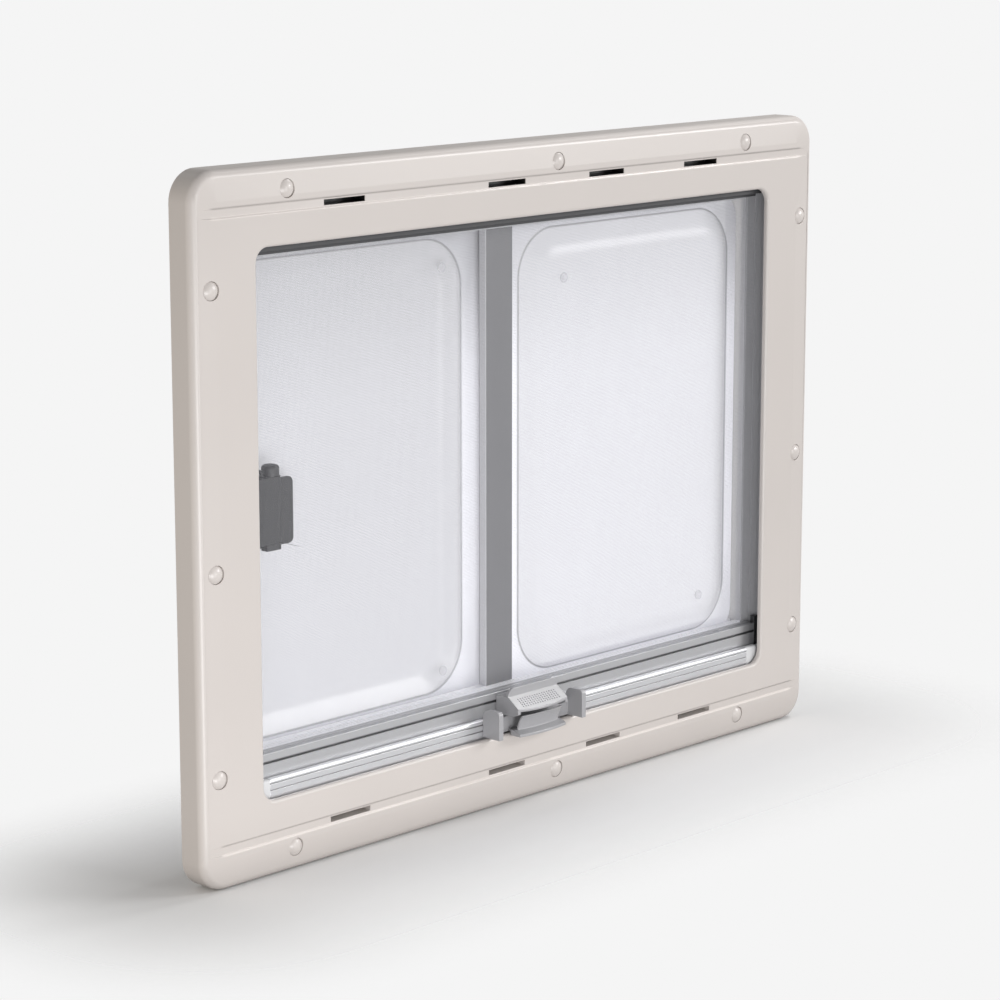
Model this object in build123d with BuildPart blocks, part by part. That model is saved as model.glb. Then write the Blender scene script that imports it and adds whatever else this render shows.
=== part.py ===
"""Sliding caravan window: inner trim frame with screen and blind, outer frame and two double acrylic panes.

Axes: X to the right seen from the room, Y towards the outdoors, Z up.
The origin is the window's centre on the inner face of the wall. Millimetres.
"""

import os
from math import sqrt

from build123d import *

# Inner frame, a moulding screwed to the wall from the room
opening_width = 642.0
opening_height = 459.0
opening_corner = 13.0
opening_edge_round = 3.0
side_skin = 29.0  # front skin from the opening's edge to the wall cut-out, left and right
end_skin = 25.5  # the same above and below
side_border = 38.0  # flat border that lies on the wall, left and right
end_border = 40.0  # the same above and below
frame_corner = 26.0
frame_depth = 28.0
frame_skin = 5.0
facet_width = 25.0  # sloping band inside the outer edge
facet_drop = 2.0
frame_edge_round = 7.5
groove_from_edge = 34.5  # long shallow groove in the top and bottom bars
groove_end_margin = 9.0
groove_height = 7.2
groove_depth = 1.2
vent_places = (-223.5, -32.0, 95.5, 223.5)  # vent slots along each groove
vent_length = 46.0
vent_height = 4.6
vent_depth = 16.0
vent_duct = 6.0

# Screws that hold the inner frame to the wall, under domed caps
screw_hole = 4.6
cap_diameter = 15.0
cap_play = 0.3
cap_seat_depth = 4.0
cap_rim = 2.6
cap_dome = 3.0
side_cap_inset = 19.0
side_cap_heights = (200.0, -29.0, -200.0)
end_cap_inset = 20.0
end_cap_places = (-287.0, 32.0, 287.0)

# Outer frame, pushed through the cut-out from outdoors
wall_thickness = 26.0
cutout_gap = 1.0
sleeve_wall = 3.0
sleeve_rim = 3.5  # how far the sleeve stands out of its flange
flange_reach = 12.0
flange_thickness = 4.0
flange_corner = 20.0
flange_bevel = 1.5
seal_thickness = 1.5
seal_width = 8.0
jamb_width = 12.0
jamb_wall = 2.0
bottom_track_height = 55.0
top_track_height = 33.0
track_wall = 2.5
track_lip = 5.5  # from the sliding pane to the track's outdoor face
bottom_groove_depth = 9.3
top_groove_depth = 5.3

# Panes: a flat sheet with a formed sheet bonded on it
flat_sheet = 3.0
formed_sheet = 2.5
formed_rise = 10.5
formed_slope = 22.0
formed_corner = 45.0
formed_bend = 40.0
pane_corner = 25.0
pane_side_gap = 7.5
flat_lap = 5.0  # flat sheet past the formed one beside the jamb
pane_play = 0.3
pane_spacing = 3.0  # between the two panes
formed_top_margin = 11.0
formed_bottom_margin = 10.2
formed_side_margin = 12.6
fixed_stile_margin = 7.7  # from the stile to the fixed pane's raised middle
sash_stile_margin = 17.0  # from the stile to the sliding pane's raised middle
plug_diameter = 9.0
plug_height = 1.2
fixed_plug_inset = 49.0  # plugs from the raised middle's edges
fixed_plug_top_inset = 46.0
fixed_plug_bottom_inset = 37.0
sash_plug_inset = 28.0
sash_plug_top_inset = 26.0
sash_plug_bottom_inset = 20.0

# Meeting stiles where the panes overlap
stile_half_width = 17.0
stile_web = 2.7
stile_leaf = 1.2
sash_stile_width = 23.0
sash_stile_leaf = 0.9

# Insect screen and blind unit between the front skin and the outer frame
blind_bar_gap = 2.5  # between the front skin and the blind bar
blind_bar_depth = 7.2
blind_bar_top = 16.0  # above the opening's bottom edge
blind_bar_round = 2.8
blind_bar_short = 12.5  # ends inside the opening's side edge
blind_foot_gap = 4.0
blind_line_drops = (4.0, 9.6)  # fine grooves below the blind bar's top
blind_line = 0.8
screen_bar_depth = 12.0
screen_bar_height = 23.0
screen_bar_top = 19.7  # above the blind bar's top
screen_bar_reach = 7.6  # past the opening's side edge, in the guide
bar_groove_drop = 7.7
bar_groove = 1.5
bar_groove_depth = 2.5
bar_slip = 0.3
bar_play = 0.4
end_cap_reach = 2.0  # past the opening's side edge
tongue_inset = 1.2
shoe_ear = 7.0  # of the screen bar's shoes, above the bar
mesh_thickness = 0.4
mesh_slot = 1.0
mesh_seat = 3.5
mesh_edge_gap = 3.0  # from the mesh's edge to the guide's floor
mesh_tuck = 5.0  # into the cassette
guide_inset = 2.5  # behind the opening's side edge
guide_leaf = 1.6
guide_floor = 2.0
guide_channel = 11.5
cassette_wall = 1.6
cassette_drop = 5.2  # screen cassette below the opening's top edge
cassette_clear = 4.5  # from the cassettes to the wall cut-out
cassette_set_back = 5.0  # screen cassette behind the front skin
cassette_leaf = 14.0
cassette_end = 2.0
cassette_end_gap = 5.0
nozzle_drop = 3.2  # lips that lead the mesh out of the cassette
nozzle_depth = 8.0
blind_cassette_gap = 0.8  # behind the blind bar
blind_cassette_below = 3.5  # above the opening's bottom edge

# Catch: thumb latch on the screen bar, keeper on the blind bar
catch_slip = 0.8
latch_half_width = 32.0
latch_wall = 3.0
latch_ridge_drop = 2.0  # below the screen bar's top
latch_reach = 12.5  # in front of the frame at the pad's corners
latch_pad_drop = 9.0
latch_pad_edge = 2.2
latch_bow = 2.5
latch_foot_reach = 5.8  # in front of the frame
crest_rise = 5.3  # above the screen bar's top
crest_corner = 8.0
keeper_half_width = 56.5
keeper_plate = 2.7
keeper_plate_drop = 0.8
horn_thickness = 5.3
horn_top = 10.5  # above the blind bar's top
horn_reach = 13.0  # in front of the frame
horn_front_round = 4.0
horn_back_round = 7.0
tray_half_width = 30.0
tray_lip_reach = 13.5
tray_lip = 2.5
tray_slope = 2.8  # of the lip up to the apron's foot
tray_lip_drop = 1.2  # below the opening's edge
apron_half_width = 26.0
apron_reach = 12.5
apron_foot_reach = 6.5
apron_height = 17.0
apron_wall = 2.0
apron_scoop = 1.6

# Sash latch on the sliding pane
sash_latch_left = 12.0  # from the jamb's face
sash_latch_width = 80.6
sash_latch_height = 57.0
sash_latch_centre = -0.5
sash_latch_plate = 3.5
sash_latch_corner = 5.0
lever_left = 20.0  # from the plate's left edge
lever_width = 37.5
lever_depth = 12.5
lever_height = 57.0
lever_lift = 5.0  # of the lever above the plate's middle
lever_round = 4.5
knob_diameter = 15.0
knob_height = 9.5
knob_round = 3.0
knob_inset = 8.0  # knob's axis from the lever's right side
ring_diameter = 9.2
ring_hole = 4.6
ring_thickness = 3.0
ring_inset = 16.0  # ring's centre from the lever's left side
foot_width = 16.0
foot_depth = 8.0
foot_height = 6.0

# Sizes that follow
cutout_x = opening_width / 2 + side_skin
cutout_z = opening_height / 2 + end_skin
frame_x = cutout_x + side_border
frame_z = cutout_z + end_border
front = -frame_depth
skin_back = front + frame_skin
lip_edge = -opening_height / 2
blind_bar_front = skin_back + blind_bar_gap
blind_bar_back = blind_bar_front + blind_bar_depth
screen_bar_front = blind_bar_back + bar_slip
screen_bar_back = screen_bar_front + screen_bar_depth
mesh_plane = (screen_bar_front + screen_bar_back) / 2
unit_back = screen_bar_back + bar_play + guide_leaf  # where the unit meets the outer frame
sleeve_x = cutout_x - cutout_gap
sleeve_z = cutout_z - cutout_gap
liner_x = sleeve_x - sleeve_wall
liner_z = sleeve_z - sleeve_wall
flange_front = wall_thickness + seal_thickness
flange_back = flange_front + flange_thickness
sleeve_back = flange_back + sleeve_rim
sleeve_depth = sleeve_back - unit_back
sleeve_middle = (sleeve_back + unit_back) / 2
jamb_face = liner_x - jamb_width
track_top = -liner_z + bottom_track_height
track_bottom = liner_z - top_track_height
sash_back = sleeve_back - track_lip
sash_face = sash_back - formed_sheet - flat_sheet
fixed_back = sash_face - pane_spacing
fixed_face = fixed_back - flat_sheet - formed_sheet
pane_bottom = track_top - bottom_groove_depth + pane_play
pane_top = track_bottom + top_groove_depth - pane_play
pane_edge = jamb_face - pane_side_gap
fixed_left = -stile_half_width + stile_web + pane_play
guide_face = opening_width / 2 + guide_inset
guide_bottom = guide_face + guide_channel
cassette_low = opening_height / 2 - cassette_drop
cassette_high = cutout_z - cassette_clear
cassette_half = cutout_x - cassette_end_gap
blind_cassette_high = lip_edge + blind_cassette_below
blind_bar_z = lip_edge + blind_bar_top
blind_bar_low = -cassette_high + cassette_wall + blind_foot_gap
screen_bar_z = blind_bar_z + screen_bar_top
screen_bar_low = screen_bar_z - screen_bar_height
screen_bar_half = opening_width / 2 + screen_bar_reach
blind_bar_half = opening_width / 2 - blind_bar_short

SIDES = (("left", -1), ("right", 1))
SIGNS = (-1, 1)
PICK = 0.01  # tolerance for choosing edges and faces by place


def wall_plane(y: float) -> Plane:
    """Returns the plane parallel to the wall at depth y; it extrudes to the room."""
    return Plane.XZ.offset(-y)


def save(part: Part, name: str) -> None:
    """Labels a finished piece and writes it as a STEP file."""
    part.label = name
    export_step(part, f"parts/{name}.step")


os.makedirs("parts", exist_ok=True)

# Inner frame
groove_z = frame_z - groove_from_edge
vent_points = [(x, sign * groove_z) for x in vent_places for sign in SIGNS]
duct_low = cutout_z - vent_height
duct_high = groove_z + vent_height / 2
duct_points = [(x, sign * (duct_low + duct_high) / 2) for x in vent_places for sign in SIGNS]
cap_sets = {
    "screw_caps_left": [(-frame_x + side_cap_inset, z) for z in side_cap_heights],
    "screw_caps_right": [(frame_x - side_cap_inset, z) for z in side_cap_heights],
    "screw_caps_top": [(x, frame_z - end_cap_inset) for x in end_cap_places],
    "screw_caps_bottom": [(x, -frame_z + end_cap_inset) for x in end_cap_places],
}
cap_points = [place for places in cap_sets.values() for place in places]

with BuildPart() as inner_frame:
    with BuildSketch(wall_plane(0)):
        RectangleRounded(2 * frame_x, 2 * frame_z, frame_corner)
    extrude(amount=frame_depth)
    front_face = inner_frame.faces().sort_by(Axis.Y)[0]
    chamfer(front_face.edges(), length=facet_width, length2=facet_drop, reference=front_face)
    facet_y = front + facet_drop
    facet_edges = inner_frame.edges().filter_by_position(Axis.Y, facet_y - PICK, facet_y + PICK)
    fillet(facet_edges, frame_edge_round)
    # The hollow behind the front skin, as wide as the wall cut-out, and the opening
    with BuildSketch(wall_plane(0)):
        Rectangle(2 * cutout_x, 2 * cutout_z)
    extrude(amount=frame_depth - frame_skin, mode=Mode.SUBTRACT)
    with BuildSketch(wall_plane(0)):
        RectangleRounded(opening_width, opening_height, opening_corner)
    extrude(amount=frame_depth, mode=Mode.SUBTRACT)
    fillet(inner_frame.faces().sort_by(Axis.Y)[0].inner_wires()[0].edges(), opening_edge_round)
    # Grooves, with vent slots that turn into the hollow
    with BuildSketch(wall_plane(front + groove_depth)):
        with Locations((0, groove_z), (0, -groove_z)):
            Rectangle(2 * (frame_x - groove_end_margin), groove_height)
    extrude(amount=groove_depth, mode=Mode.SUBTRACT)
    with BuildSketch(wall_plane(front + vent_depth)):
        with Locations(*vent_points):
            Rectangle(vent_length, vent_height)
    extrude(amount=vent_depth, mode=Mode.SUBTRACT)
    with BuildSketch(wall_plane(front + vent_depth)):
        with Locations(*duct_points):
            Rectangle(vent_length, duct_high - duct_low)
    extrude(amount=vent_duct, mode=Mode.SUBTRACT)
    # Screw holes with seats for the caps
    with BuildSketch(wall_plane(front + cap_seat_depth)):
        with Locations(*cap_points):
            Circle(cap_diameter / 2 + cap_play)
    extrude(amount=cap_seat_depth, mode=Mode.SUBTRACT)
    with BuildSketch(wall_plane(0)):
        with Locations(*cap_points):
            Circle(screw_hole / 2)
    extrude(amount=frame_depth, mode=Mode.SUBTRACT)
save(inner_frame.part, "inner_frame")

# Domed caps over the screws
cap_radius = cap_diameter / 2
cap_seat = front + cap_seat_depth
cap_shoulder = cap_seat - cap_rim
dome_radius = (cap_radius**2 + cap_dome**2) / (2 * cap_dome)
dome_mid = cap_radius / 2
dome_mid_y = cap_shoulder - sqrt(dome_radius**2 - dome_mid**2) + (dome_radius - cap_dome)
cap_rim_point = (cap_radius, cap_shoulder)
cap_crown = (0, cap_shoulder - cap_dome)
with BuildPart() as cap:
    with BuildSketch(Plane.XY):
        with BuildLine():
            Polyline(cap_crown, (0, cap_seat), (cap_radius, cap_seat), cap_rim_point)
            ThreePointArc(cap_rim_point, (dome_mid, dome_mid_y), cap_crown)
        make_face()
    revolve(axis=Axis.Y)
for cap_set_name, places in cap_sets.items():
    with BuildPart() as cap_set:
        with Locations(*[(x, 0, z) for x, z in places]):
            add(cap.part)
    save(cap_set.part, cap_set_name)

# Outer frame with its flange, and the seal under the flange
with BuildPart() as outer_frame:
    with BuildSketch(wall_plane(flange_back)):
        RectangleRounded(2 * (cutout_x + flange_reach), 2 * (cutout_z + flange_reach), flange_corner)
    extrude(amount=flange_thickness)
    chamfer(outer_frame.faces().sort_by(Axis.Y)[-1].edges(), flange_bevel)
    with BuildSketch(wall_plane(sleeve_back)):
        Rectangle(2 * sleeve_x, 2 * sleeve_z)
    extrude(amount=sleeve_depth)
    with BuildSketch(wall_plane(sleeve_back)):
        Rectangle(2 * liner_x, 2 * liner_z)
    extrude(amount=sleeve_depth, mode=Mode.SUBTRACT)
save(outer_frame.part, "outer_frame")

with BuildPart() as wall_seal:
    with BuildSketch(wall_plane(flange_front)):
        Rectangle(2 * (sleeve_x + seal_width), 2 * (sleeve_z + seal_width))
        Rectangle(2 * (sleeve_x + pane_play), 2 * (sleeve_z + pane_play), mode=Mode.SUBTRACT)
    extrude(amount=seal_thickness)
save(wall_seal.part, "wall_seal")

# Jambs and tracks inside the outer frame
for side, sign in SIDES:
    with BuildPart() as jamb:
        with BuildSketch(Plane.XY.offset(-liner_z)):
            with Locations((sign * (jamb_face + liner_x) / 2, sleeve_middle)):
                Rectangle(jamb_width, sleeve_depth)
                Rectangle(jamb_width - 2 * jamb_wall, sleeve_depth - 2 * jamb_wall, mode=Mode.SUBTRACT)
        extrude(amount=2 * liner_z)
    save(jamb.part, f"jamb_{side}")

pane_thickness = flat_sheet + formed_sheet
pane_groove = pane_thickness + 2 * pane_play
pane_middles = (fixed_face + pane_thickness / 2, sash_face + pane_thickness / 2)
bottom_groove = track_top - bottom_groove_depth
top_groove = track_bottom + top_groove_depth
tracks = (
    ("bottom_track", -liner_z, bottom_groove, track_top),
    ("top_track", liner_z, top_groove, track_bottom),
)
for track_name, seat, groove, mouth in tracks:
    cavity_height = abs(groove - seat) - 2 * track_wall
    with BuildPart() as track:
        with BuildSketch(Plane.YZ.offset(-jamb_face)):
            with Locations((sleeve_middle, (seat + mouth) / 2)):
                Rectangle(sleeve_depth, abs(mouth - seat))
            with Locations((sleeve_middle, (seat + groove) / 2)):
                Rectangle(sleeve_depth - 2 * track_wall, cavity_height, mode=Mode.SUBTRACT)
            with Locations(*[(y, (groove + mouth) / 2) for y in pane_middles]):
                Rectangle(pane_groove, abs(mouth - groove), mode=Mode.SUBTRACT)
        extrude(amount=2 * jamb_face)
    save(track.part, track_name)

# Raised middles of the two panes: left, right, low and high edges
raised_low = pane_bottom + formed_bottom_margin
raised_high = pane_top - formed_top_margin
raised_side = pane_edge - formed_side_margin
fixed_raised = (stile_half_width + fixed_stile_margin, raised_side, raised_low, raised_high)
sash_raised = (-raised_side, -stile_half_width - sash_stile_margin, raised_low, raised_high)


def raised_middle(raised: tuple, face: float, away: int) -> Part:
    """Makes the block that a sheet is formed over, from one sheet thickness behind the face.

    Args:
        raised: left, right, low and high edges at the foot of the slope.
        face: depth of the foot of the slope.
        away: -1 where the middle rises to the room, 1 to the outdoors.
    """
    left, right, low, high = raised
    outermost = 0 if away < 0 else -1
    with BuildPart() as block:
        with BuildSketch(wall_plane(face - away * formed_sheet)):
            with Locations(((left + right) / 2, (low + high) / 2)):
                RectangleRounded(right - left, high - low, formed_corner)
        extrude(amount=-away * (formed_rise + formed_sheet))
        crown = block.faces().sort_by(Axis.Y)[outermost]
        chamfer(crown.edges(), length=formed_slope, length2=formed_rise, reference=crown)
        fillet(block.faces().sort_by(Axis.Y)[outermost].edges(), formed_bend)
    return block.part


panes = (
    ("fixed_pane", fixed_left, pane_edge, fixed_face, fixed_raised, -1),
    ("sash_pane", -pane_edge, -fixed_left, sash_back, sash_raised, 1),
)
for pane_name, left, right, face, raised, away in panes:
    place = ((left + right) / 2, (pane_bottom + pane_top) / 2)
    bond = face - away * formed_sheet
    with BuildPart() as formed_pane:
        with BuildSketch(wall_plane(face)):
            with Locations(place):
                RectangleRounded(right - left, pane_top - pane_bottom, pane_corner)
        extrude(amount=away * formed_sheet)
        add(raised_middle(raised, face, away))
        add(raised_middle(raised, bond, away), mode=Mode.SUBTRACT)
    save(formed_pane.part, f"{pane_name}_formed")
    with BuildPart() as flat_pane:
        with BuildSketch(wall_plane(bond)):
            with Locations((place[0] - away * flat_lap / 2, place[1])):
                RectangleRounded(right - left + flat_lap, pane_top - pane_bottom, pane_corner)
        extrude(amount=away * flat_sheet)
    save(flat_pane.part, f"{pane_name}_flat")

# Plugs in the panes' corners
fixed_plugs = (
    (fixed_raised[0] + fixed_plug_inset, raised_high - fixed_plug_top_inset),
    (fixed_raised[1] - fixed_plug_inset, raised_low + fixed_plug_bottom_inset),
)
sash_plugs = (
    (sash_raised[1] - sash_plug_inset, raised_high - sash_plug_top_inset),
    (sash_raised[1] - sash_plug_inset, raised_low + sash_plug_bottom_inset),
)
plug_sets = (
    ("fixed_pane_plugs", fixed_plugs, fixed_face - formed_rise),
    ("sash_pane_plugs", sash_plugs, sash_face),
)
for plug_name, places, face in plug_sets:
    with BuildPart() as plugs:
        with BuildSketch(wall_plane(face)):
            with Locations(*places):
                Circle(plug_diameter / 2)
        extrude(amount=plug_height)
    save(plugs.part, plug_name)

# Meeting stiles, each a channel on the edge of its pane
sash_stile_middle = stile_half_width - sash_stile_width / 2
stiles = (
    ("fixed_stile", 0, 2 * stile_half_width, 1, fixed_face, fixed_back, stile_leaf),
    ("sash_stile", sash_stile_middle, sash_stile_width, -1, sash_face, sash_back, sash_stile_leaf),
)
for stile_name, middle, width, opens, face, back, room_leaf in stiles:
    with BuildPart() as stile:
        with BuildSketch(Plane.XY.offset(track_top)):
            stile_front = face - pane_play - room_leaf
            stile_back = back + pane_play + stile_leaf
            with Locations((middle, (stile_front + stile_back) / 2)):
                Rectangle(width, stile_back - stile_front)
            with Locations((middle + opens * stile_web / 2, (face + back) / 2)):
                Rectangle(width - stile_web, pane_groove, mode=Mode.SUBTRACT)
        extrude(amount=track_bottom - track_top)
    save(stile.part, stile_name)

# Side guides of the screen and blind unit
unit_middle = (skin_back + unit_back) / 2
unit_depth = unit_back - skin_back
for side, sign in SIDES:
    with BuildPart() as guide:
        with BuildSketch(Plane.XY.offset(-cassette_high)):
            with Locations((sign * (guide_face + guide_bottom + guide_floor) / 2, unit_middle)):
                Rectangle(guide_channel + guide_floor, unit_depth)
            with Locations((sign * (guide_face + guide_bottom) / 2, unit_middle)):
                Rectangle(guide_channel, unit_depth - 2 * guide_leaf, mode=Mode.SUBTRACT)
        extrude(amount=cassette_high + cassette_low)
    save(guide.part, f"screen_guide_{side}")

# Cassettes above and below, with their end plates
between_guides = guide_face - pane_play
screen_cassette_front = skin_back + cassette_set_back
blind_cassette_front = blind_bar_back + blind_cassette_gap
cassettes = (
    ("screen_cassette", cassette_low, cassette_high, screen_cassette_front, cassette_half, 1),
    ("blind_cassette", -cassette_high, blind_cassette_high, blind_cassette_front, between_guides, -1),
)
for cassette_name, low, high, face, half, up in cassettes:
    far, mouth = (high, low) if up > 0 else (low, high)
    depth = unit_back - face
    with BuildPart() as cassette:
        with BuildSketch(Plane.YZ.offset(-half + cassette_end)):
            with Locations((face + depth / 2, (low + high) / 2)):
                Rectangle(depth, high - low)
                Rectangle(depth - 2 * cassette_wall, high - low - 2 * cassette_wall, mode=Mode.SUBTRACT)
            with Locations(((skin_back + face) / 2, far - up * cassette_wall / 2)):
                Rectangle(face - skin_back, cassette_wall)
            with Locations((skin_back + cassette_wall / 2, far - up * cassette_leaf / 2)):
                Rectangle(cassette_wall, cassette_leaf)
            with Locations((mesh_plane, mouth + up * cassette_wall / 2)):
                Rectangle(2 * mesh_slot, cassette_wall, mode=Mode.SUBTRACT)
        extrude(amount=2 * (half - cassette_end))
        if cassette_name == "screen_cassette":
            with BuildSketch(Plane.YZ.offset(-between_guides)):
                with Locations((mesh_plane, mouth - nozzle_drop / 2)):
                    Rectangle(nozzle_depth, nozzle_drop)
                    Rectangle(2 * mesh_slot, nozzle_drop, mode=Mode.SUBTRACT)
            extrude(amount=2 * between_guides)
    save(cassette.part, cassette_name)
    with BuildPart() as cassette_ends:
        for sign in SIGNS:
            with BuildSketch(Plane.YZ.offset(sign * (half - cassette_end))):
                with Locations((face + depth / 2, (low + high) / 2)):
                    Rectangle(depth, high - low)
            extrude(amount=sign * cassette_end)
    save(cassette_ends.part, f"{cassette_name}_ends")

# Insect screen with its pull bar and the bar's shoes
mesh_low = screen_bar_z - mesh_seat + pane_play
mesh_high = cassette_low + mesh_tuck
with BuildPart() as screen_mesh:
    with BuildSketch(wall_plane(mesh_plane + mesh_thickness / 2)):
        with Locations((0, (mesh_low + mesh_high) / 2)):
            Rectangle(2 * (guide_bottom - mesh_edge_gap), mesh_high - mesh_low)
    extrude(amount=mesh_thickness)
save(screen_mesh.part, "screen_mesh")

with BuildPart() as screen_bar:
    with BuildSketch(Plane.YZ.offset(-screen_bar_half)):
        with Locations((mesh_plane, screen_bar_z - screen_bar_height / 2)):
            Rectangle(screen_bar_depth, screen_bar_height)
        with Locations((mesh_plane, screen_bar_z - mesh_seat / 2)):
            Rectangle(mesh_slot, mesh_seat, mode=Mode.SUBTRACT)
        with Locations((screen_bar_front + bar_groove_depth / 2, screen_bar_z - bar_groove_drop)):
            Rectangle(bar_groove_depth, bar_groove, mode=Mode.SUBTRACT)
    extrude(amount=2 * screen_bar_half)
save(screen_bar.part, "screen_bar")

shoe_top = screen_bar_z - mesh_seat - pane_play
ear_depth = screen_bar_depth / 2 - mesh_slot
ear_top = screen_bar_z + shoe_ear
shoe_length = guide_bottom - bar_play - screen_bar_half
with BuildPart() as screen_bar_ends:
    for sign in SIGNS:
        with BuildSketch(Plane.YZ.offset(sign * screen_bar_half)):
            with Locations((mesh_plane, (screen_bar_low + shoe_top) / 2)):
                Rectangle(screen_bar_depth, shoe_top - screen_bar_low)
            with Locations((screen_bar_front + ear_depth / 2, (screen_bar_low + ear_top) / 2)):
                Rectangle(ear_depth, ear_top - screen_bar_low)
        extrude(amount=sign * shoe_length)
save(screen_bar_ends.part, "screen_bar_ends")

# Blind bar with fine grooves, and its end caps with tongues that run in the guides
blind_bar_middle = ((blind_bar_front + blind_bar_back) / 2, (blind_bar_low + blind_bar_z) / 2)
blind_bar_height = blind_bar_z - blind_bar_low
line_points = [(blind_bar_front + blind_line / 2, blind_bar_z - drop) for drop in blind_line_drops]
with BuildPart() as blind_bar:
    with BuildSketch(Plane.YZ.offset(-blind_bar_half)):
        with Locations(blind_bar_middle):
            RectangleRounded(blind_bar_depth, blind_bar_height, blind_bar_round)
        with Locations(*line_points):
            Rectangle(blind_line, blind_line, mode=Mode.SUBTRACT)
    extrude(amount=2 * blind_bar_half)
save(blind_bar.part, "blind_bar")

cap_length = blind_bar_short + end_cap_reach
tongue_length = guide_bottom - bar_play - blind_bar_half - cap_length
with BuildPart() as blind_bar_ends:
    for sign in SIGNS:
        with BuildSketch(Plane.YZ.offset(sign * blind_bar_half)):
            with Locations(blind_bar_middle):
                RectangleRounded(blind_bar_depth, blind_bar_height, blind_bar_round)
        extrude(amount=sign * cap_length)
        with BuildSketch(Plane.YZ.offset(sign * (blind_bar_half + cap_length))):
            with Locations(blind_bar_middle):
                Rectangle(blind_bar_depth - 2 * tongue_inset, blind_bar_height - 2 * tongue_inset)
        extrude(amount=sign * tongue_length)
save(blind_bar_ends.part, "blind_bar_ends")


def bowed_outline(half_width: float, reach: float, back: float) -> Sketch:
    """Makes a piece's outline in plan, with straight sides and a bowed front edge.

    Args:
        half_width: half the piece's width.
        reach: how far its front corners stand in front of the frame; the middle stands out further.
        back: depth of its straight back edge.
    """
    corner = front - reach
    with BuildSketch() as outline:
        with BuildLine():
            Polyline((half_width, corner), (half_width, back), (-half_width, back), (-half_width, corner))
            ThreePointArc((-half_width, corner), (0, corner - latch_bow), (half_width, corner))
        make_face()
    return outline.sketch


# Thumb latch: a sloping pad between two cheeks, with a crest along its upper edge
ridge_z = screen_bar_z - latch_ridge_drop
pad_slope = latch_pad_drop / latch_reach
pad_tip = front - latch_reach - latch_bow
pad_tip_z = ridge_z - pad_slope * (latch_reach + latch_bow)
latch_low = blind_bar_z + catch_slip
with BuildPart() as catch_latch:
    with BuildSketch(Plane.YZ.offset(-latch_half_width)):
        with BuildLine():
            Polyline(
                (screen_bar_front, ridge_z),
                (front, ridge_z),
                (pad_tip, pad_tip_z),
                (pad_tip, pad_tip_z - latch_pad_edge),
                (front - latch_foot_reach, latch_low),
                (screen_bar_front, latch_low),
                close=True,
            )
        make_face()
    extrude(amount=2 * latch_half_width)
    with BuildSketch(Plane.YZ.offset(-latch_half_width + latch_wall)):
        with BuildLine():
            Polyline(
                (screen_bar_front - latch_wall, ridge_z - latch_wall),
                (front + latch_wall / 2, ridge_z - latch_wall),
                (pad_tip, pad_tip_z - latch_pad_edge),
                (pad_tip, latch_low),
                (screen_bar_front - latch_wall, latch_low),
                close=True,
            )
        make_face()
    extrude(amount=2 * (latch_half_width - latch_wall), mode=Mode.SUBTRACT)
    with BuildSketch(Plane.XY.offset(latch_low)):
        add(bowed_outline(latch_half_width, latch_reach, screen_bar_front))
    extrude(amount=ridge_z - latch_low, mode=Mode.INTERSECT)
    with BuildSketch(wall_plane(front + latch_wall)) as crest:
        with Locations((0, (ridge_z - latch_wall + screen_bar_z + crest_rise) / 2)):
            Rectangle(2 * latch_half_width, screen_bar_z + crest_rise - ridge_z + latch_wall)
        fillet(crest.vertices().group_by(Axis.Y)[-1], crest_corner)
    extrude(amount=latch_wall)
save(catch_latch.part, "catch_latch")

# Keeper's tray: a bowed lip in front of the frame, sloping up to the foot of a scooped apron
floor_low = lip_edge + catch_slip
lip_low = lip_edge - tray_lip_drop
lip_front = front - tray_lip_reach - latch_bow
lip_high = lip_low + tray_lip + tray_slope
apron_top_z = floor_low + apron_height
apron_top_y = front - apron_reach - latch_bow
apron_foot_y = front - apron_foot_reach - latch_bow
bow_radius = (apron_half_width**2 + latch_bow**2) / (2 * latch_bow)
bow_axis = Axis((0, apron_top_y + bow_radius, 0), (0, 0, 1))
with BuildPart() as tray_lip_plate:
    with BuildSketch(Plane.YZ):
        with BuildLine():
            Polyline(
                (lip_front, lip_low),
                (lip_front, lip_low + tray_lip),
                (apron_foot_y, lip_high),
                (front, lip_high),
                (front, lip_low),
                close=True,
            )
        make_face()
    revolve(axis=bow_axis)
    with BuildSketch(Plane.XY.offset(lip_low)):
        with Locations((0, (lip_front + front - catch_slip) / 2)):
            Rectangle(2 * tray_half_width, front - catch_slip - lip_front)
    extrude(amount=lip_high - lip_low, mode=Mode.INTERSECT)
    floor_front = front - apron_foot_reach
    with BuildSketch(Plane.XY.offset(floor_low)):
        with Locations((0, (floor_front + blind_bar_front) / 2)):
            Rectangle(2 * apron_half_width, blind_bar_front - floor_front)
    extrude(amount=tray_lip)

scoop_y = (apron_top_y + apron_foot_y) / 2 + apron_scoop
scoop_z = (apron_top_z + floor_low) / 2
with BuildPart() as apron:
    with BuildSketch(Plane.YZ):
        with BuildLine():
            outside = ThreePointArc((apron_top_y, apron_top_z), (scoop_y, scoop_z), (apron_foot_y, floor_low))
            inside = ThreePointArc(
                (apron_foot_y + apron_wall, floor_low),
                (scoop_y + apron_wall, scoop_z),
                (apron_top_y + apron_wall, apron_top_z),
            )
            Line(outside @ 1, inside @ 0)
            Line(inside @ 1, outside @ 0)
        make_face()
    revolve(axis=bow_axis)
    with BuildSketch(Plane.XY.offset(floor_low)):
        with Locations((0, (apron_top_y + front) / 2)):
            Rectangle(2 * apron_half_width, front - apron_top_y)
    extrude(amount=apron_height, mode=Mode.INTERSECT)

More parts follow.
